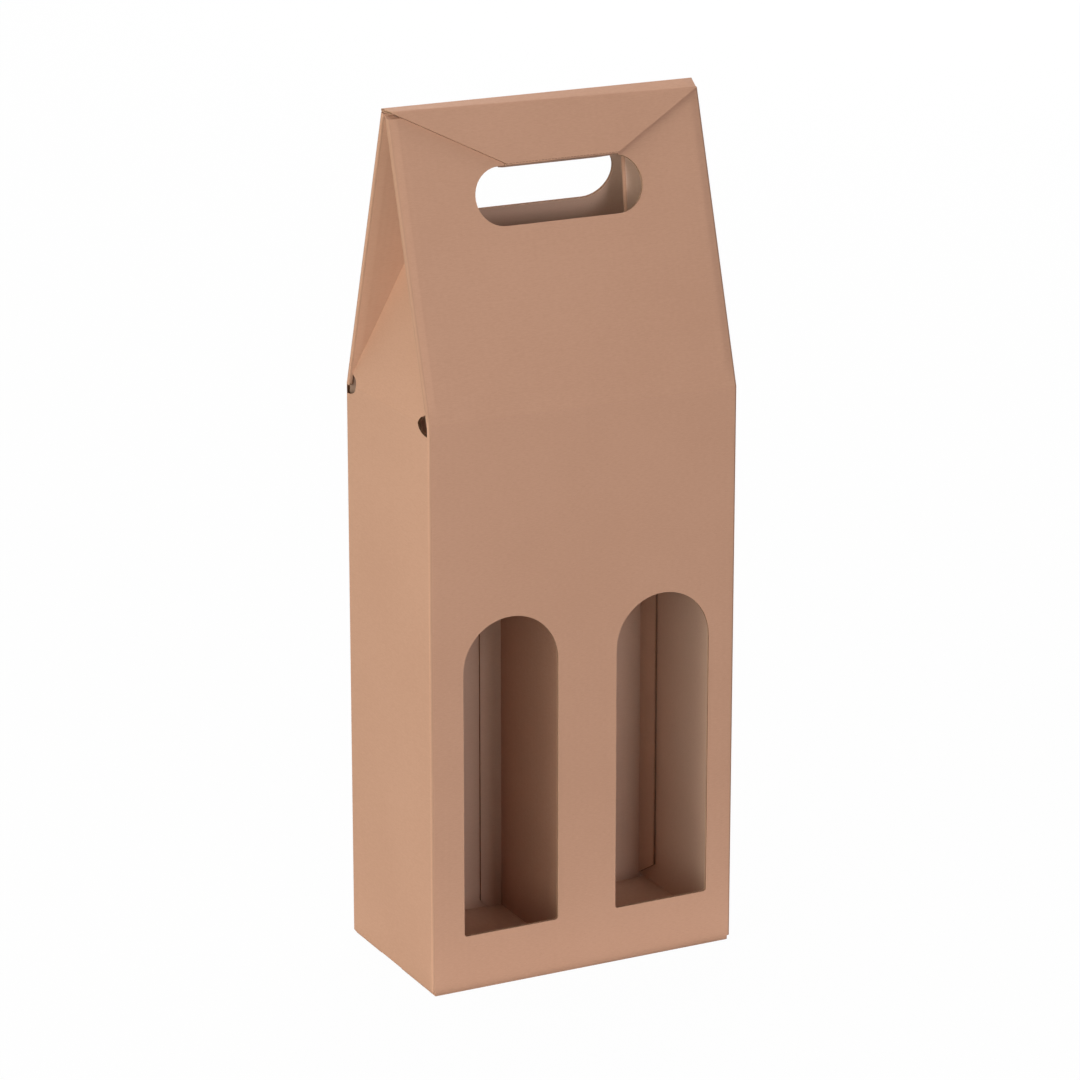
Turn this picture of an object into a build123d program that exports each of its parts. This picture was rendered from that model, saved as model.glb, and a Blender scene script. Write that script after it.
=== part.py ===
from build123d import *
import math
import os

# A gable-top carrier for two bottles, folded from kraft E-flute board.
# Millimetres, +Z up, the front with its windows faces -Y and the ridge runs along X.
# The origin is the middle of the base. A plate is given by its middle surface.

# Board and overall size. A crease is pressed a hair below the board's faces.
board = 1.5
crease_step = 0.03
width = 160.0
depth = 90.0
bend_height = 278.0
total_height = 416.0

# Windows and handle hole, which the cutting die set a little off the middle of the panel
die_shift = 1.6
window_width = 49.5
window_gap = 30.5
window_bottom = 27.5
window_top = 182.5
window_corner = 1.5
handle_width = 86.0
handle_height = 27.5
handle_from_ridge = 29.8

# Gussets: how far up the gable the two slanting creases meet, as a share of its slant,
# and how much of each half the loose round of the middle fold takes up
left_junction = 0.93
right_junction = 0.45
left_slack = 0.0
right_slack = 4.5
notch_reach = 9.6
notch_height = 9.8

# Closure flap: ridge strip, trapezoid and tongue. The strip is twisted: it falls less at its left end.
free_gap = 0.3
left_pitch = 4.0
right_pitch = 20.0
ridge_inset = 0.4
flap_inset = 2.0
tongue_width = 58.0
tongue_shift = 4.6
tongue_reach = 14.0
tongue_corner = 5.0
tongue_gap = 0.8
tongue_side_gap = 0.3

# Bottom flaps and glue lap
lock_reach = 9.0
lock_run = 12.0
lock_gap = 0.6
lock_corner = 11.0
side_flap_reach = 36.0
side_flap_taper = 13.0
flap_play = 1.0
lap_width = 15.0
lap_taper = 9.0
seam_gap = 0.25

# Divider between the two cells
divider_height = 200.0
divider_flange = 12.0
divider_corner = 4.0

half_board = board / 2
panel_y = depth / 2 - half_board
side_x = width / 2 - half_board
fold_x = width / 2 - board
inner_y = depth / 2 - board

# The bottom is two boards thick, and the side walls fold into its upper layer.
floor_z = 2 * board
side_fold_z = board + half_board

# Long enough for a cut that passes right through the box
beyond = 2 * width

# The gable panels stop two gusset layers apart, so all four layers lie face to face at the ridge.
# Each panel bends about the inner edge of its wall, so its middle surface passes half a board from it.
ridge_y = half_board + board
hinge_z = total_height - half_board + crease_step
rise = hinge_z - bend_height
reach = math.hypot(inner_y - ridge_y, rise)
slant = math.sqrt(reach**2 - half_board**2)
lean = math.atan2(inner_y - ridge_y, rise) + math.asin(half_board / reach)

slope_normal = Vector(0, -math.cos(lean), math.sin(lean))
front_slope = Plane(
    origin=Vector(0, -inner_y, bend_height) + slope_normal * half_board,
    x_dir=(1, 0, 0),
    z_dir=slope_normal,
)
hinge_line = Vector(0, ridge_y, hinge_z)


def mirrored(shape, plane):
    """The shape with its mirror image in the plane."""
    return shape + mirror(shape, about=plane)


def plate(corners, thickness=board):
    """Flat board with the given corners on its middle surface."""
    outline = Wire.make_polygon([Vector(*corner) for corner in corners], close=True)
    return extrude(Face(outline), amount=thickness / 2, both=True)


def crease(start, end, radius=half_board):
    """The rounded fold between two flat stretches of board."""
    start = Vector(*start)
    run = Vector(*end) - start
    return Plane(origin=start, z_dir=run) * Cylinder(
        radius - crease_step, run.length, align=(Align.CENTER, Align.CENTER, Align.MIN)
    )


def knuckle(place, radius=half_board):
    """The round tip where several folds meet."""
    return Pos(*place) * Sphere(radius)


def window_outline(middle):
    """An arched window, as a sketch in X and Z."""
    arch_radius = window_width / 2
    straight = window_top - arch_radius - window_bottom
    body = Pos(middle, window_bottom + straight / 2) * Rectangle(window_width, straight)
    sill = body.vertices().group_by(Axis.Y)[0]
    return fillet(sill, window_corner) + Pos(middle, window_bottom + straight) * Circle(arch_radius)


def sleeve():
    """The four upright walls, with the raw edge of the right wall in the back corner."""
    outer = RectangleRounded(width, depth, board)
    outer = outer + Pos(side_x, panel_y) * Rectangle(board, board)
    inner = Rectangle(width - 2 * board, depth - 2 * board)
    walls = Pos(0, 0, side_fold_z) * extrude(outer - inner, bend_height - side_fold_z)
    window_pitch = window_gap + window_width
    windows = Sketch() + [
        window_outline(die_shift + side * window_pitch / 2) for side in (-1, 1)
    ]
    cutter = extrude(Plane.XZ * windows, depth)
    seam = Pos(fold_x, depth / 2, bend_height / 2) * Box(
        seam_gap, 2 * board, bend_height, align=(Align.MAX, Align.CENTER, Align.CENTER)
    )
    return walls - cutter - seam


def glue_lap():
    """The lap of the back panel, glued to the inside of the right wall."""
    low = floor_z + board
    high = bend_height - notch_height / 2 - seam_gap
    lap_x = fold_x - half_board
    return plate(
        [
            (lap_x, inner_y, low),
            (lap_x, inner_y - lap_width, low + lap_taper),
            (lap_x, inner_y - lap_width, high - lap_taper),
            (lap_x, inner_y, high),
        ]
    )


def gable_panel(tongue_room):
    """The leaning front panel with its handle hole, up to the ridge."""
    blank = Pos(0, slant / 2) * Rectangle(2 * fold_x, slant)
    hole_v = slant - handle_from_ridge - handle_height / 2
    hole = Pos(die_shift, hole_v) * SlotOverall(handle_width, handle_height)
    if tongue_room:
        room_height = handle_height / 2 + board + tongue_gap
        room_width = tongue_width + 2 * tongue_side_gap
        hole = hole + Pos(tongue_shift, hole_v + room_height / 2) * Rectangle(room_width, room_height)
    panel = extrude(front_slope * (blank - hole), half_board, both=True)
    wall_top = Pos(0, -panel_y, bend_height) * Rectangle(2 * fold_x, board)
    bend_axis = Axis((0, -inner_y, bend_height), (-1, 0, 0))
    return panel + revolve(wall_top, axis=bend_axis, revolution_arc=math.degrees(lean))


def slanted_folds():
    """The folds that turn the front panel's two slanting sides into the gussets, two boards thick."""
    low = front_slope.from_local_coords(Vector(fold_x, 0, -half_board))
    high = front_slope.from_local_coords(Vector(fold_x, slant, -half_board))
    return mirrored(crease(low, high, board) + knuckle(low, board), Plane.YZ)


def meet(centre_a, radius_a, centre_b, radius_b):
    """The crossing of two circles in X and Z that lies nearer to the middle of the box."""
    gap = centre_b - centre_a
    distance = gap.length
    along = (distance**2 + radius_a**2 - radius_b**2) / (2 * distance)
    across = math.sqrt(max(radius_a**2 - along**2, 0))
    unit = gap / distance
    normal = Vector(-unit.Y, unit.X)
    first = centre_a + unit * along + normal * across
    second = centre_a + unit * along - normal * across
    return min(first, second, key=lambda point: abs(point.X))


def gusset(junction, slack):
    """The right-hand gusset, folded from flat board with no stretch: its creases keep their lengths."""
    foot = front_slope.from_local_coords(Vector(fold_x, 0, -board))
    peak = front_slope.from_local_coords(Vector(fold_x, slant, -board))
    half_flat = abs(foot.Y) - half_board - slack
    above = (1 - junction) * slant
    base_mid = Vector(side_x, bend_height)
    peak_flat = Vector(peak.X, peak.Z)
    joint = meet(base_mid, junction * slant, peak_flat, math.hypot(half_flat, above))
    apex = meet(peak_flat, half_flat, joint, above)
    base_y = abs(foot.Y)
    triangle = plate(
        [
            (side_x, -base_y, bend_height),
            (side_x, base_y, bend_height),
            (joint.X, half_board, joint.Y),
            (joint.X, -half_board, joint.Y),
        ]
    )
    ear = plate([foot, peak, (joint.X, -half_board, joint.Y)])
    slanting = crease((side_x, -base_y, bend_height), (joint.X, -half_board, joint.Y))
    ears = mirrored(ear + slanting, Plane.XZ)
    double = plate([(peak.X, 0, peak.Z), (apex.X, 0, apex.Y), (joint.X, 0, joint.Y)], 2 * board)
    middle = crease((joint.X, 0, joint.Y), (apex.X, 0, apex.Y), board)
    tips = knuckle((joint.X, 0, joint.Y), board) + knuckle((apex.X, 0, apex.Y), board)
    bend = crease((side_x, -base_y, bend_height), (side_x, base_y, bend_height))
    return triangle + ears + double + middle + tips + bend


def bend_notches():
    """The relief at each bend corner: half an ellipse, with its straight side on the upright fold."""
    outline = Pos(inner_y, bend_height) * Ellipse(notch_reach, notch_height / 2)
    cutter = Pos(side_x, 0, 0) * extrude(Plane.YZ * outline, notch_reach, both=True)
    return mirrored(mirrored(cutter, Plane.XZ), Plane.YZ)


def bottom():
    """Four flaps glued into a lock: the side flaps inside, the front and back flaps below them."""
    flap_x = side_x - flap_play
    half_run = lock_run / 2
    lock_y = lock_reach / 2
    edge = lock_gap / 2
    front = [
        (-flap_x, -panel_y),
        (flap_x, -panel_y),
        (flap_x, -lock_y - edge - lock_corner),
        (flap_x - lock_corner, -lock_y - edge),
        (half_run, -lock_y - edge),
        (-half_run, lock_y - edge),
        (lock_corner - flap_x, lock_y - edge),
        (-flap_x, lock_y - edge - lock_corner),
    ]
    front_flap = plate([(x, y, half_board) for x, y in front])
    front_fold = crease((-flap_x, -panel_y, half_board), (flap_x, -panel_y, half_board))
    front_foot = plate(
        [
            (-flap_x, -panel_y, half_board),
            (flap_x, -panel_y, half_board),
            (flap_x, -panel_y, floor_z),
            (-flap_x, -panel_y, floor_z),
        ]
    )
    main = front_flap + front_fold + front_foot
    main = main + Rot(0, 0, 180) * main
    side_y = inner_y - flap_play
    reach_x = side_x - side_flap_reach
    side_flap = plate(
        [
            (side_x, -side_y, side_fold_z),
            (side_x, side_y, side_fold_z),
            (reach_x, side_y - side_flap_taper, side_fold_z),
            (reach_x, side_flap_taper - side_y, side_fold_z),
        ]
    )
    side_fold = crease((side_x, -side_y, side_fold_z), (side_x, side_y, side_fold_z))
    return main + mirrored(side_flap + side_fold, Plane.YZ)


def ridge_frame(pitch):
    """The plane of a strip that falls to the front from the hinge line, which is its X axis."""
    turn = math.radians(pitch)
    return Plane(origin=hinge_line, x_dir=(1, 0, 0), z_dir=(0, -math.sin(turn), math.cos(turn)))


def strip_end(near_x, far_x, length, pitch):
    """The cut end of the ridge strip, from the hinge line forward."""
    corners = [
        (near_x, 0, -half_board),
        (far_x, -length, -half_board),
        (far_x, -length, half_board),
        (near_x, 0, half_board),
    ]
    outline = [ridge_frame(pitch).from_local_coords(Vector(*corner)) for corner in corners]
    return Face(Wire.make_polygon(outline, close=True))


def carton_blank():
    """Everything of the folded sheet except its closure flap."""
    notches = bend_notches()
    between_panels = Box(beyond, 2 * inner_y, 2 * total_height)
    folds = slanted_folds()
    blank = sleeve() - (notches & between_panels)
    blank = blank + gable_panel(True) + mirror(gable_panel(False), about=Plane.XZ)
    blank = blank + folds + mirror(folds, about=Plane.XZ)
    blank = blank + (gusset(right_junction, right_slack) - notches)
    blank = blank + (mirror(gusset(left_junction, left_slack), about=Plane.YZ) - notches)
    blank = blank + glue_lap() + bottom()
    under_strip = ridge_frame(max(left_pitch, right_pitch)).offset(-half_board - free_gap)
    above = under_strip * Box(beyond, depth, depth, align=(Align.CENTER, Align.CENTER, Align.MIN))
    return blank - above


def closure_flap():
    """The ridge strip, the trapezoid that lies on the front gable panel, and its tongue."""
    lift = board + free_gap
    hinge_local = front_slope.to_local_coords(hinge_line)
    tongue_v = slant - handle_from_ridge + half_board
    strip_half = width / 2 - ridge_inset
    flap_half = width / 2 - flap_inset
    left = tongue_shift - tongue_width / 2
    right = tongue_shift + tongue_width / 2
    tip = tongue_reach - tongue_corner

    def on_flap(x, v, inward=0.0):
        return front_slope.from_local_coords(Vector(x, v, lift - inward))

    def strip_length(pitch):
        return (lift - hinge_local.Z) / math.cos(math.radians(pitch) + lean)

    def fold_v(pitch):
        return hinge_local.Y - strip_length(pitch) * math.sin(math.radians(pitch) + lean)

    strip = loft(
        [
            strip_end(-strip_half, -flap_half, strip_length(left_pitch), left_pitch),
            strip_end(strip_half, flap_half, strip_length(right_pitch), right_pitch),
        ]
    )
    hinge_left = (-strip_half, ridge_y, hinge_z)
    hinge_right = (strip_half, ridge_y, hinge_z)
    fold_left = on_flap(-flap_half, fold_v(left_pitch))
    fold_right = on_flap(flap_half, fold_v(right_pitch))
    tongue_left = on_flap(left, tongue_v)
    tongue_right = on_flap(right, tongue_v)
    trapezoid = plate([fold_left, fold_right, tongue_right, tongue_left])
    tongue = plate(
        [
            tongue_left,
            tongue_right,
            on_flap(right, tongue_v, tip),
            on_flap(right - tongue_corner, tongue_v, tongue_reach),
            on_flap(left + tongue_corner, tongue_v, tongue_reach),
            on_flap(left, tongue_v, tip),
        ]
    )
    folds = [
        crease(hinge_left, hinge_right),
        crease(fold_left, fold_right),
        crease(tongue_left, tongue_right),
    ]
    return Part() + [strip, trapezoid, tongue, *folds]


def divider():
    """A Z-folded strip that stands between the bottles, a flange on the front and one on the back wall."""
    web_y = inner_y - half_board
    web = plate(
        [
            (0, -web_y, board),
            (0, web_y, board),
            (0, web_y, divider_height),
            (0, -web_y, divider_height),
        ]
    )
    flange = plate(
        [
            (0, -web_y, board),
            (divider_flange - divider_corner, -web_y, board),
            (divider_flange, -web_y, board + divider_corner),
            (divider_flange, -web_y, divider_height - divider_corner),
            (divider_flange - divider_corner, -web_y, divider_height),
            (0, -web_y, divider_height),
        ]
    )
    fold = Pos(0, -web_y, board) * Cylinder(
        half_board, divider_height - board, align=(Align.CENTER, Align.CENTER, Align.MIN)
    )
    flange = flange + fold
    return web + flange + Rot(0, 0, 180) * flange


nodes = {
    "carton_blank": carton_blank,
    "closure_flap": closure_flap,
    "divider": divider,
}

if __name__ == "__main__":
    os.makedirs("parts", exist_ok=True)
    for name, make in nodes.items():
        export_step(make(), f"parts/{name}.step")
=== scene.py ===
import bpy
import math
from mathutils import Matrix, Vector

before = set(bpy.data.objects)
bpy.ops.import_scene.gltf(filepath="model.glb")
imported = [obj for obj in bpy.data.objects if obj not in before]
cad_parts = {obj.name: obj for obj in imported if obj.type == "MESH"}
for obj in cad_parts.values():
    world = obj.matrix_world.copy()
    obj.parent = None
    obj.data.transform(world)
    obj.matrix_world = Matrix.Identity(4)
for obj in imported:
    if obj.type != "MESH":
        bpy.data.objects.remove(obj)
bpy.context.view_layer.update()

# The box's geometry in metres, as the solids have it
board = 0.0015
half_board = board / 2
width = 0.160
half_width = width / 2
depth = 0.090
half_depth = depth / 2
bend_height = 0.278
notch_reach = 0.0096
notch_half = 0.0049
tongue_fold = 0.11429
hinge = Vector((0.0, 0.00225, 0.41528))
left_joint = Vector((-0.03659, 0.0, 0.40430))
right_joint = Vector((0.04653, 0.0, 0.33359))
left_pitch = math.radians(4.0)
right_pitch = math.radians(20.0)
free_gap = 0.0003
wall_y = half_depth - half_board
wall_x = half_width - half_board
inner_y = half_depth - board
fold_x = half_width - board

# Where the cut edges are looked for: a little past the windows, the handle holes, the lap and the flaps
window_low = 0.020
window_high = 0.190
handle_low = 0.350
handle_high = 0.395
handle_half = 0.050
handle_depth = 0.030
lap_start = 0.020
lap_foot = 0.004
flap_reach = 0.030
close = 0.0001
slack = 0.0005
past = 0.001
notch_outside = 0.002
notch_inside = 0.006

# Cut edges stand nearly square to their sheet and inner sides lie flat on it: cosines and metres
edge_turn = 0.25
edge_slack = 0.00004
inside_turn = 0.98
inside_slack = 0.00008

# The fluted sheet between the two liners
flute_pitch = 0.0033
liner = 0.00022
medium = 0.00016

left_right = Vector((1.0, 0.0, 0.0))
front_back = Vector((0.0, 1.0, 0.0))
upright = Vector((0.0, 0.0, 1.0))

# The back slope's sheet leans from the bend to the hinge, and the front slope leans alike
reach = math.hypot(inner_y - hinge.y, hinge.z - bend_height)
lean = math.atan2(inner_y - hinge.y, hinge.z - bend_height) + math.asin(half_board / reach)
front_out = Vector((0.0, -math.cos(lean), math.sin(lean)))
back_out = Vector((0.0, math.cos(lean), math.sin(lean)))
front_up = Vector((0.0, math.sin(lean), math.cos(lean)))
front_mid = Vector((0.0, -inner_y, bend_height)) + front_out * half_board
back_mid = Vector((0.0, inner_y, bend_height)) + back_out * half_board
flap_mid = front_mid + front_out * (board + free_gap)

# The two liners' colours, as a share of the light that they throw back: middle, dark and light. The inner
# liner is paler and greyer, partly as a kraft inner liner is and partly as painted light that brightens the
# shaded inside of the box.
outer_tones = ((0.502, 0.283, 0.190, 1.0), (0.457, 0.252, 0.165, 1.0), (0.547, 0.316, 0.216, 1.0))
inner_tones = ((0.680, 0.468, 0.352, 1.0), (0.635, 0.430, 0.320, 1.0), (0.725, 0.507, 0.386, 1.0))
kraft = outer_tones[0]

# The tones of painted shade on the folds and on the back hole's edge, of flecks, and of cut edges: the
# fibres, the painted shade in the notches and the painted shade in the flutes' hollows
painted_shade_tone = (0.400, 0.226, 0.149, 1.0)
fleck = (0.300, 0.158, 0.095, 1.0)
raw_fibre = (0.560, 0.344, 0.225, 1.0)
notch_shade = (0.100, 0.047, 0.026, 1.0)
hollow_shade = (0.200, 0.108, 0.066, 1.0)

# The liners' noises, in repeats over a metre along x, y and z
cloud_grain = (14.0, 14.0, 14.0)
fibre_grain = (420.0, 420.0, 2600.0)
felt_grain = (2200.0, 2200.0, 2200.0)
fleck_grain = (900.0, 900.0, 2400.0)
sag_grain = (22.0, 22.0, 16.0)

# How much of each noise shows in the tone, and how high the relief is
fibre_share = 0.65
even_share = 0.62
fleck_share = 0.22
tone_range = (0.36, 0.64)
fleck_range = (0.70, 0.78)
felt_share = 0.4
sag_height = 0.00045
washboard_height = 0.00002
washboard_strength = 0.35
grain_height = 0.00005
grain_strength = 0.5
liner_roughness = 0.78
liner_gloss = 0.22

# The cut edges' noises and relief
wobble_grain = (500.0, 500.0, 500.0)
wobble_height = 0.0002
fuzz_grain = (3000.0, 3000.0, 3000.0)
fuzz_share = 0.3
fuzz_range = (0.3, 0.7)
cut_height = 0.0003
cut_strength = 0.6
cut_roughness = 0.9

# The looks of cut edges: two tones of fibre, the tone of the hollows, and gloss. The hollows' tone is
# painted shade, the back hole's edge takes a darker tone as painted shade, and the notches' edges are near
# black as painted shade.
fresh_cut = (raw_fibre, kraft, hollow_shade, 0.12)
back_hole_shade_cut = (painted_shade_tone, painted_shade_tone, hollow_shade, 0.12)
notch_shade_cut = (notch_shade, hollow_shade, notch_shade, 0.0)
# Painted shade: the back hole's edge is darker and the notches' and gussets' cut edges are near black
edge_looks = {
    "edge_hole_back": back_hole_shade_cut,
    "edge_notch_left": notch_shade_cut,
    "edge_notch_right": notch_shade_cut,
    "edge_gusset_left": notch_shade_cut,
    "edge_gusset_right": notch_shade_cut,
}

# How the folds look: the share of painted shade on them, the width and drop of the soft slanting edge, the
# ears' bow
fold_shade_share = 0.9
fold_softness = 0.0055
fold_fall = 0.0005
ear_bow = math.radians(13.0)

# Where the folds' painted shade and soft fall start and are full, as distances in from the sides or up from
# the bend
round_start = 0.0022
round_full = 0.0016
rim_full = 0.0011
fall_full = 0.0005
rim_rise = 0.006
slope_rise = 0.015

# How a face is turned, as cosines to the left-right or the upward direction
side_turn = 0.6
round_from = (0.10, 0.25)
round_to = (0.65, 0.78)
ear_down = -0.1
ear_side = 0.3


class Graph:
    """A material's node tree, with one short call for each kind of node."""

    def __init__(self, name):
        self.material = bpy.data.materials.new(name)
        self.material.use_nodes = True
        self.tree = self.material.node_tree
        self.shader = self.tree.nodes["Principled BSDF"]
        self.place = self.add("ShaderNodeTexCoord").outputs["Object"]
        self.normal = self.add("ShaderNodeNewGeometry").outputs["True Normal"]

    def add(self, kind, **settings):
        node = self.tree.nodes.new(kind)
        for key, value in settings.items():
            setattr(node, key, value)
        return node

    def put(self, socket, value):
        if isinstance(value, bpy.types.NodeSocket):
            self.tree.links.new(value, socket)
        else:
            socket.default_value = value

    def math(self, operation, *values):
        node = self.add("ShaderNodeMath", operation=operation)
        for socket, value in zip(node.inputs, values):
            self.put(socket, value)
        return node.outputs[0]

    def vector(self, operation, first, second, output="Vector"):
        node = self.add("ShaderNodeVectorMath", operation=operation)
        self.put(node.inputs[0], first)
        self.put(node.inputs[1], second)
        return node.outputs[output]

    def ramp(self, value, low, high, out_low=0.0, out_high=1.0):
        """A smooth step between two values."""
        node = self.add("ShaderNodeMapRange", interpolation_type="SMOOTHSTEP")
        self.put(node.inputs["Value"], value)
        self.put(node.inputs["From Min"], low)
        self.put(node.inputs["From Max"], high)
        self.put(node.inputs["To Min"], out_low)
        self.put(node.inputs["To Max"], out_high)
        return node.outputs["Result"]

    def noise(self, scale, detail=2.0, rough=0.5):
        """Noise over the place in metres, with its own scale along each axis."""
        node = self.add("ShaderNodeTexNoise")
        self.put(node.inputs["Vector"], self.vector("MULTIPLY", self.place, scale))
        self.put(node.inputs["Scale"], 1.0)
        self.put(node.inputs["Detail"], detail)
        self.put(node.inputs["Roughness"], rough)
        return node.outputs["Fac"]

    def flutes(self, along):
        """The wave of the fluted sheet, from -1 to 1, over a distance in metres."""
        return self.math("SINE", self.math("MULTIPLY", along, 2 * math.pi / flute_pitch))

    def blend(self, first, share, second):
        """A weighted sum of two heights or tones."""
        kept = self.math("MULTIPLY", first, 1.0 - share)
        return self.math("ADD", kept, self.math("MULTIPLY", second, share))

    def mix(self, share, first, second):
        """A mix of two colours."""
        node = self.add("ShaderNodeMix", data_type="RGBA")
        self.put(node.inputs["Factor"], share)
        self.put(node.inputs[6], first)
        self.put(node.inputs[7], second)
        return node.outputs[2]

    def bump(self, height, distance, strength=1.0, below=None):
        """The surface's normal, bent by a height in metres and by the coarser relief below it."""
        node = self.add("ShaderNodeBump")
        self.put(node.inputs["Height"], height)
        self.put(node.inputs["Distance"], distance)
        self.put(node.inputs["Strength"], strength)
        if below:
            self.put(node.inputs["Normal"], below)
        return node.outputs["Normal"]

    def paper(self, colour, roughness, gloss, normal):
        self.put(self.shader.inputs["Base Color"], colour)
        self.put(self.shader.inputs["Roughness"], roughness)
        self.put(self.shader.inputs["Specular IOR Level"], gloss)
        self.put(self.shader.inputs["Normal"], normal)
        return self.material


def fold_shade_mask(g, axes, facing):
    """Where the liner gets painted shade on a fold: the rounds of the upright folds and the slopes' rims.
    """
    out = g.math("ABSOLUTE", axes["X"])
    turned = g.math("MULTIPLY", g.ramp(facing, *round_from), g.ramp(facing, *round_to, 1.0, 0.0))
    near_side = g.ramp(out, half_width - round_start, half_width - round_full)
    upright_fold = g.math("MULTIPLY", turned, near_side)
    from_slope = g.math(
        "ADD",
        g.math("MULTIPLY", g.math("ABSOLUTE", axes["Y"]), math.cos(lean)),
        g.math("MULTIPLY", axes["Z"], math.sin(lean)),
    )
    from_slope = g.math("ABSOLUTE", g.math("SUBTRACT", from_slope, front_mid.dot(front_out)))
    on_rim = g.math(
        "MULTIPLY",
        g.ramp(out, half_width - round_full, half_width - rim_full),
        g.ramp(from_slope, half_board, half_board * 1.4, 1.0, 0.0),
    )
    above_bend = g.ramp(axes["Z"], bend_height, bend_height + rim_rise)
    slanting_fold = g.math("MULTIPLY", on_rim, above_bend)
    return g.math("MAXIMUM", upright_fold, slanting_fold)


def soft_folds(g, axes, facing, below):
    """The slopes fall away softly at their ends, and the ears bow a little more to the open end."""
    out = g.math("ABSOLUTE", axes["X"])
    on_slope = g.ramp(axes["Z"], bend_height, bend_height + slope_rise)
    fall = g.ramp(out, half_width - fold_softness, half_width - fall_full, 1.0, 0.0)
    fallen = g.bump(g.math("MULTIPLY", fall, on_slope), fold_fall, 1.0, below)
    down = g.math("LESS_THAN", g.vector("DOT_PRODUCT", g.normal, upright, "Value"), ear_down)
    on_ear = g.math("MULTIPLY", down, g.math("LESS_THAN", facing, ear_side))
    bow = g.math("MULTIPLY", g.math("MULTIPLY", out, -math.tan(ear_bow)), on_ear)
    return g.bump(bow, 1.0, 1.0, fallen)


def kraft_liner(name, tones, folded):
    """Natural kraft liner: clouds, fibres across the flutes, sparse flecks and a faint washboard, and, when
    folded, painted shade on the folds.
    """
    middle_tone, dark_tone, light_tone = tones
    g = Graph(name)
    cloud = g.noise(cloud_grain, 3.0)
    fibres = g.noise(fibre_grain, 4.0, 0.6)
    felt = g.noise(felt_grain, 2.0)
    flecks = g.ramp(g.noise(fleck_grain, 1.0), *fleck_range)
    tone = g.blend(cloud, fibre_share, fibres)
    colour = g.mix(g.ramp(tone, *tone_range), dark_tone, light_tone)
    colour = g.mix(even_share, colour, middle_tone)
    colour = g.mix(g.math("MULTIPLY", flecks, fleck_share), colour, fleck)
    split = g.add("ShaderNodeSeparateXYZ")
    g.put(split.inputs[0], g.place)
    axes = split.outputs
    facing = g.math("ABSOLUTE", g.vector("DOT_PRODUCT", g.normal, left_right, "Value"))
    sideways = g.math("GREATER_THAN", facing, side_turn)
    across = g.math(
        "ADD",
        g.math("MULTIPLY", axes["X"], g.math("SUBTRACT", 1.0, sideways)),
        g.math("MULTIPLY", axes["Y"], sideways),
    )
    relief = g.bump(g.noise(sag_grain, 1.0), sag_height)
    if folded:
        # Painted shade: the folds' rounds and the slopes' rims are darkened in colour
        shade_on_fold = g.math("MULTIPLY", fold_shade_mask(g, axes, facing), fold_shade_share)
        colour = g.mix(shade_on_fold, colour, painted_shade_tone)
        relief = soft_folds(g, axes, facing, relief)
    relief = g.bump(g.flutes(across), washboard_height, washboard_strength, relief)
    relief = g.bump(g.blend(fibres, felt_share, felt), grain_height, grain_strength, relief)
    return g.paper(colour, liner_roughness, liner_gloss, relief)


def cut_board(name, outward, middle, across, look):
    """The board's cut edge: two liners and the fluted sheet between them, as a section of the solid, with
    painted shade in the hollows between the flutes.
    """
    fibre, other_fibre, dark, gloss = look
    g = Graph(name)
    from_middle = g.vector("DOT_PRODUCT", g.place, outward, "Value")
    height = g.math("ADD", from_middle, -outward.dot(middle))
    along = g.vector("DOT_PRODUCT", g.place, across, "Value")
    wave = g.math("MULTIPLY", g.flutes(along), half_board - liner - medium / 2)
    wobble = g.math("MULTIPLY", g.math("SUBTRACT", g.noise(wobble_grain), 0.5), wobble_height)
    from_wave = g.math("ABSOLUTE", g.math("SUBTRACT", g.math("ADD", height, wobble), wave))
    on_wave = g.ramp(from_wave, medium * 0.7, medium * 1.5, 1.0, 0.0)
    on_liner = g.ramp(g.math("ABSOLUTE", height), half_board - liner * 1.4, half_board - liner * 0.8)
    solid = g.math("MAXIMUM", on_wave, on_liner)
    fuzz = g.noise(fuzz_grain, 3.0)
    torn = g.mix(g.ramp(fuzz, *fuzz_range), fibre, other_fibre)
    height = g.math("ADD", solid, g.math("MULTIPLY", fuzz, fuzz_share))
    relief = g.bump(height, cut_height, cut_strength)
    return g.paper(g.mix(solid, dark, torn), cut_roughness, gloss, relief)


def on_edge(polygon, mesh, outward, middle):
    """Whether a face is a cut through the sheet that lies on this plane."""
    if abs(polygon.normal.dot(outward)) > edge_turn:
        return False
    distances = [(mesh.vertices[i].co - middle).dot(outward) for i in polygon.vertices]
    return max(abs(distance) for distance in distances) < half_board + edge_slack


def on_inside(polygon, mesh, outward, middle):
    """Whether a face is the inner side of the sheet that lies on this plane."""
    if polygon.normal.dot(outward) > -inside_turn:
        return False
    distances = [(mesh.vertices[i].co - middle).dot(outward) for i in polygon.vertices]
    return max(abs(distance + half_board) for distance in distances) < inside_slack


def within(polygon, mesh, boxes):
    """Whether all of a face lies inside one of the boxes."""
    places = [mesh.vertices[i].co for i in polygon.vertices]
    return any(
        all(low[k] <= place[k] <= high[k] for place in places for k in range(3)) for low, high in boxes
    )


def paint(node, panels, zones):
    """Gives a node its outer liner, its inner liner and, on its cut edges, the section of the board."""
    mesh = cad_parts[node].data
    mesh.materials.clear()
    mesh.materials.append(outer_liner)
    mesh.materials.append(inner_liner)
    for polygon in mesh.polygons:
        inside = any(on_inside(polygon, mesh, outward, middle) for outward, middle in panels)
        polygon.material_index = 1 if inside else 0
    for name, outward, middle, across, boxes in zones:
        look = edge_looks.get(name, fresh_cut)
        mesh.materials.append(cut_board(name, outward, middle, across, look))
        index = len(mesh.materials) - 1
        for polygon in mesh.polygons:
            if on_edge(polygon, mesh, outward, middle) and within(polygon, mesh, boxes):
                polygon.material_index = index


def tilted(pitch):
    """The outward direction of a strip that falls to the front at this pitch."""
    return Vector((0.0, -math.sin(pitch), math.cos(pitch)))


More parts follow.
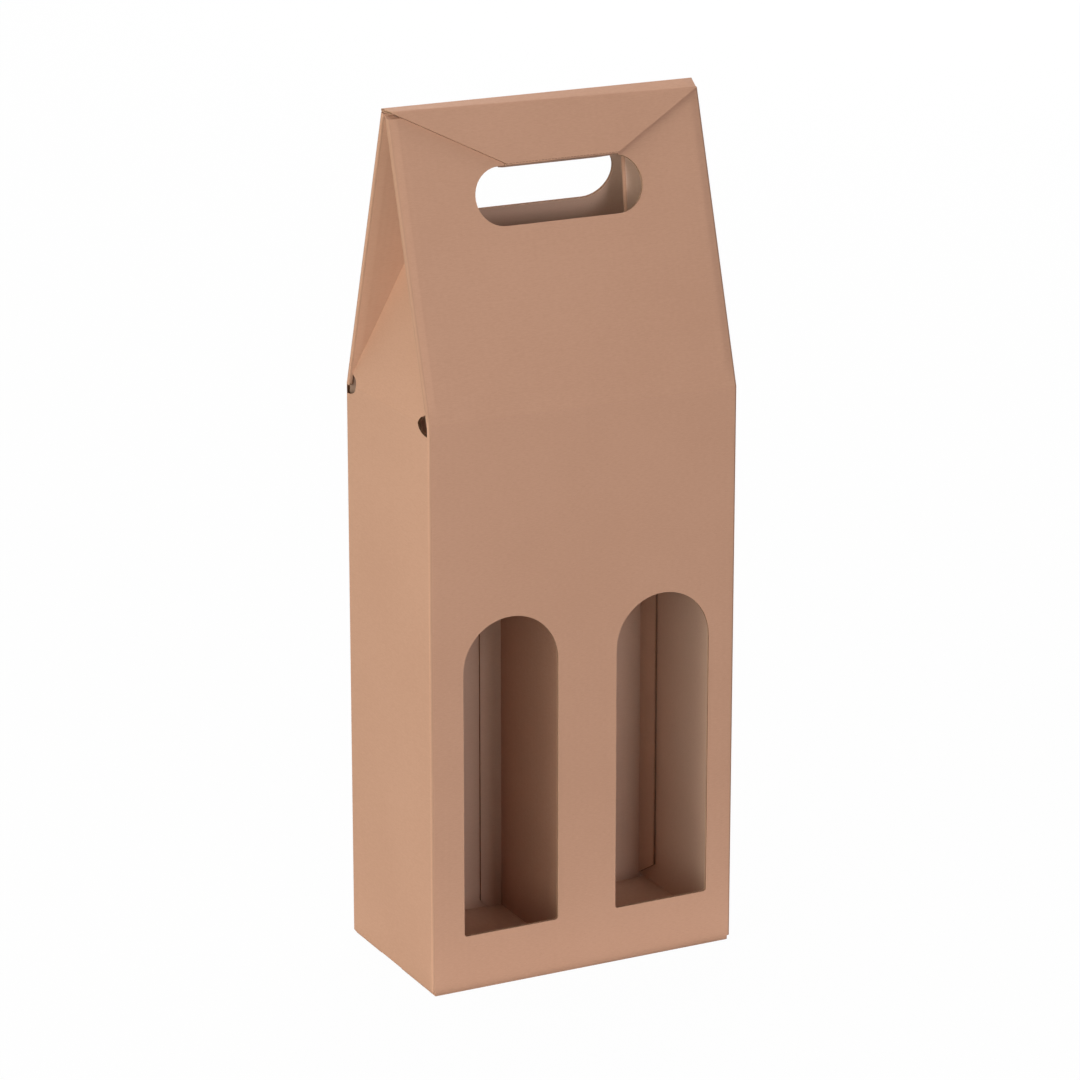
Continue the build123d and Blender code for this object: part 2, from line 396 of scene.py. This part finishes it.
def gusset_out(joint):
    """The outward direction of a gusset that leans from its side wall to the joint of its creases."""
    side = math.copysign(1.0, joint.x)
    run = joint - Vector((side * wall_x, 0.0, bend_height))
    return run.cross(front_back * -side).normalized()


def ear(side, face, joint):
    """The outward direction and a point of the gusset's ear that lies behind one of the slopes."""
    slope_out = front_out if face < 0 else back_out
    up = Vector((0.0, -face * math.sin(lean), math.cos(lean)))
    middle = front_mid if face < 0 else back_mid
    low = middle - slope_out * board + left_right * (side * fold_x)
    inner = joint + front_back * (face * half_board)
    outward = up.cross(inner - low).normalized()
    return (outward if outward.y * face < 0 else -outward), low


def notch_boxes(side, low, high):
    """The places of the two relief notches in one side of the box, between two heights."""
    near = side * (wall_x + notch_outside)
    far = side * (wall_x - notch_inside)
    boxes = []
    for front in (-1, 1):
        start = front * (inner_y - notch_reach - slack)
        end = front * inner_y
        boxes.append(((min(near, far), min(start, end), low), (max(near, far), max(start, end), high)))
    return boxes


# A point on the middle of each sheet of board
left_wall = Vector((-wall_x, 0.0, 0.0))
right_wall = Vector((wall_x, 0.0, 0.0))
front_wall = Vector((0.0, -wall_y, 0.0))
back_wall = Vector((0.0, wall_y, 0.0))
foot = upright * bend_height
lap = right_wall - left_right * board
under_flap = upright * half_board
side_flap = upright * (board + half_board)
left_gusset = (gusset_out(left_joint), left_wall + foot)
right_gusset = (gusset_out(right_joint), right_wall + foot)
ears = [ear(side, face, joint) for side, joint in ((-1, left_joint), (1, right_joint)) for face in (-1, 1)]
flange_front = front_wall + front_back * board
flange_back = back_wall - front_back * board
tongue_mid = flap_mid + front_up * tongue_fold

# The boxes in which each sheet's cut edges lie
everywhere = [((-1, -1, -1), (1, 1, 1))]
clear_x = half_width - 3 * board
notch_low = bend_height - notch_half - past
notch_high = bend_height + notch_half + past
wall_notches = [notch_boxes(side, notch_low, bend_height + past) for side in (-1, 1)]
gusset_notches = [notch_boxes(side, bend_height - past, notch_high) for side in (-1, 1)]
front_zone = ((-clear_x, -half_depth - past, window_low), (clear_x, -inner_y + past, window_high))
front_hole = ((-handle_half, -handle_depth, handle_low), (handle_half, 0.0, handle_high))
back_hole = ((-handle_half, 0.0, handle_low), (handle_half, handle_depth, handle_high))
seam_zone = ((fold_x - close, half_depth - close, 0.0), (half_width + past, half_depth + past, bend_height))
lap_zone = ((fold_x - board - close, lap_start, lap_foot), (fold_x + close, inner_y, bend_height))
under_zone = ((-fold_x, -flap_reach, -past), (fold_x, flap_reach, board + slack))
flap_zone = ((-fold_x, -inner_y, board - slack), (fold_x, inner_y, 2 * board + close))
web_zone = ((-past, -inner_y, 0), (past, inner_y, 1))
left_end = ((-half_width, -1, 0), (-clear_x, 1, 1))
right_end = ((clear_x, -1, 0), (half_width, 1, 1))

outer_liner = kraft_liner("kraft_liner", outer_tones, True)
# The inner liner's paler tone is partly painted light for the shaded inside
inner_liner = kraft_liner("inner_liner", inner_tones, False)
paint(
    "carton_blank",
    [
        (-front_back, front_wall),
        (front_back, back_wall),
        (-left_right, left_wall),
        (left_right, right_wall),
        (left_right, lap),
        (front_out, front_mid),
        (back_out, back_mid),
        (front_back, front_back * -half_board),
        (-front_back, front_back * half_board),
        (-upright, under_flap),
        (-upright, side_flap),
        left_gusset,
        right_gusset,
        *ears,
    ],
    [
        ("edge_windows", front_back, front_wall, left_right, [front_zone]),
        ("edge_hole_front", front_out, front_mid, left_right, [front_hole]),
        ("edge_hole_back", back_out, back_mid, left_right, [back_hole]),
        ("edge_notch_left", left_right, left_wall, front_back, wall_notches[0]),
        ("edge_notch_right", left_right, right_wall, front_back, wall_notches[1]),
        ("edge_gusset_left", *left_gusset, front_back, gusset_notches[0]),
        ("edge_gusset_right", *right_gusset, front_back, gusset_notches[1]),
        ("edge_seam", left_right, right_wall, front_back, [seam_zone]),
        ("edge_lap", left_right, lap, front_back, [lap_zone]),
        ("edge_bottom", upright, under_flap, left_right, [under_zone]),
        ("edge_side_flaps", upright, side_flap, left_right, [flap_zone]),
    ],
)
paint(
    "closure_flap",
    [(front_out, flap_mid), (-front_up, tongue_mid)],
    [
        ("edge_flap", front_out, flap_mid, left_right, everywhere),
        ("edge_tongue", front_up, tongue_mid, left_right, everywhere),
        ("edge_strip_left", tilted(left_pitch), hinge, left_right, [left_end]),
        ("edge_strip_right", tilted(right_pitch), hinge, left_right, [right_end]),
    ],
)
paint(
    "divider",
    [(-left_right, Vector()), (-front_back, flange_front), (front_back, flange_back)],
    [
        ("edge_web", left_right, Vector(), front_back, [web_zone]),
        ("edge_flange_front", front_back, flange_front, left_right, everywhere),
        ("edge_flange_back", front_back, flange_back, left_right, everywhere),
    ],
)

# The studio: its floor and room are white where the camera sees them and plain pale for the light
scene = bpy.context.scene
floor_half = 6.0
floor_tone = (0.60, 0.60, 0.60, 1.0)
floor_white = 0.98
room_strength = 0.12


def seen_share(tree):
    """1 for rays from the camera, off a gloss or through glass, else 0."""
    path = tree.nodes.new("ShaderNodeLightPath")
    first = tree.nodes.new("ShaderNodeMath")
    first.operation = "MAXIMUM"
    tree.links.new(path.outputs["Is Camera Ray"], first.inputs[0])
    tree.links.new(path.outputs["Is Glossy Ray"], first.inputs[1])
    second = tree.nodes.new("ShaderNodeMath")
    second.operation = "MAXIMUM"
    tree.links.new(first.outputs[0], second.inputs[0])
    tree.links.new(path.outputs["Is Transmission Ray"], second.inputs[1])
    return second.outputs[0]


def floor_paint():
    """White to the camera, with a trace of the floor's own tone that keeps the object's shadow."""
    material = bpy.data.materials.new("pale_floor")
    material.use_nodes = True
    tree = material.node_tree
    tree.nodes.clear()
    diffuse = tree.nodes.new("ShaderNodeBsdfDiffuse")
    diffuse.inputs["Color"].default_value = floor_tone
    white = tree.nodes.new("ShaderNodeEmission")
    white.inputs["Strength"].default_value = 1.0
    shadow_kept = tree.nodes.new("ShaderNodeMath")
    shadow_kept.operation = "MULTIPLY"
    tree.links.new(seen_share(tree), shadow_kept.inputs[0])
    shadow_kept.inputs[1].default_value = floor_white
    blend = tree.nodes.new("ShaderNodeMixShader")
    tree.links.new(shadow_kept.outputs[0], blend.inputs[0])
    tree.links.new(diffuse.outputs[0], blend.inputs[1])
    tree.links.new(white.outputs[0], blend.inputs[2])
    output = tree.nodes.new("ShaderNodeOutputMaterial")
    tree.links.new(blend.outputs[0], output.inputs["Surface"])
    return material


def studio_room():
    """The world around the object: white to the camera and weak for the light."""
    world = bpy.data.worlds.new("studio")
    scene.world = world
    world.use_nodes = True
    tree = world.node_tree
    tree.nodes.clear()
    background = tree.nodes.new("ShaderNodeBackground")
    strength = tree.nodes.new("ShaderNodeMapRange")
    tree.links.new(seen_share(tree), strength.inputs["Value"])
    strength.inputs["To Min"].default_value = room_strength
    strength.inputs["To Max"].default_value = 1.0
    tree.links.new(strength.outputs["Result"], background.inputs["Strength"])
    background.inputs["Color"].default_value = (1.0, 1.0, 1.0, 1.0)
    output = tree.nodes.new("ShaderNodeOutputWorld")
    tree.links.new(background.outputs[0], output.inputs["Surface"])


def area_lamp(name, place, power):
    """A lamp and its data, linked to the scene."""
    data = bpy.data.lights.new(name, "AREA")
    data.energy = power
    lamp = bpy.data.objects.new(name, data)
    lamp.location = place
    scene.collection.objects.link(lamp)
    return lamp, data


def softbox(name, place, size, power, colour):
    """A square studio lamp that points at the middle of the object."""
    lamp, data = area_lamp(name, place, power)
    data.size = size
    data.color = colour
    lamp.rotation_mode = "QUATERNION"
    lamp.rotation_quaternion = (Vector(lamp_aim) - Vector(place)).to_track_quat("-Z", "Y")


def table_glow(name, low, high, power):
    """The light that the white table throws up close to the box, from a sheet that isn't seen itself."""
    place = ((low[0] + high[0]) / 2, (low[1] + high[1]) / 2, glow_height)
    lamp, data = area_lamp(name, place, power)
    data.shape = "RECTANGLE"
    data.size = high[0] - low[0]
    data.size_y = high[1] - low[1]
    lamp.rotation_euler = (math.pi, 0.0, 0.0)
    lamp.visible_camera = False


floor_mesh = bpy.data.meshes.new("floor")
floor_corners = [(x * floor_half, y * floor_half, 0) for x, y in ((-1, -1), (1, -1), (1, 1), (-1, 1))]
floor_mesh.from_pydata(floor_corners, [], [(0, 1, 2, 3)])
floor_mesh.materials.append(floor_paint())
floor = bpy.data.objects.new("floor", floor_mesh)
scene.collection.objects.link(floor)
studio_room()

# Lamps: place in metres, size in metres, power in watts and colour
lamp_aim = (0.0, 0.0, 0.2)
glow_height = 0.001
softbox("key_left", (-2.6, -0.6, 0.9), 1.6, 36.8, (1.0, 1.01, 0.90))
softbox("key_front_left", (-2.2, -1.6, 0.5), 1.6, 24.0, (1.0, 1.0, 0.94))
softbox("low_front_left", (-0.62, -0.92, 0.10), 0.5, 1.3, (1.0, 1.0, 0.97))
softbox("fill_front", (0.0, -2.72, 0.87), 0.6, 18.9, (1.02, 0.98, 1.03))
softbox("sky", (-0.1, 0.45, 2.6), 1.4, 36.0, (1.0, 1.0, 1.0))
softbox("fill_back", (1.5, 2.2, 1.1), 1.8, 42.0, (1.0, 1.0, 1.0))
table_glow("glow_front", (-0.16, -0.100), (0.16, -0.047), 0.029)
table_glow("glow_left", (-0.130, -0.09), (-0.082, 0.09), 0.004)

# Camera at the photograph's angle
azimuth = math.radians(-26.866)
elevation = math.radians(17.150)
distance = 2.0692
aim = Vector((-0.00067, 0.0, 0.20173))
camera_data = bpy.data.cameras.new("camera")
camera_data.sensor_width = 36.0
camera_data.lens = 145.76
camera = bpy.data.objects.new("camera", camera_data)
scene.collection.objects.link(camera)
scene.camera = camera
away = Vector(
    (
        math.sin(azimuth) * math.cos(elevation),
        -math.cos(azimuth) * math.cos(elevation),
        math.sin(elevation),
    )
)
camera.location = aim + away * distance
camera.rotation_mode = "QUATERNION"
camera.rotation_quaternion = (-away).to_track_quat("-Z", "Y")

scene.view_settings.view_transform = "Standard"
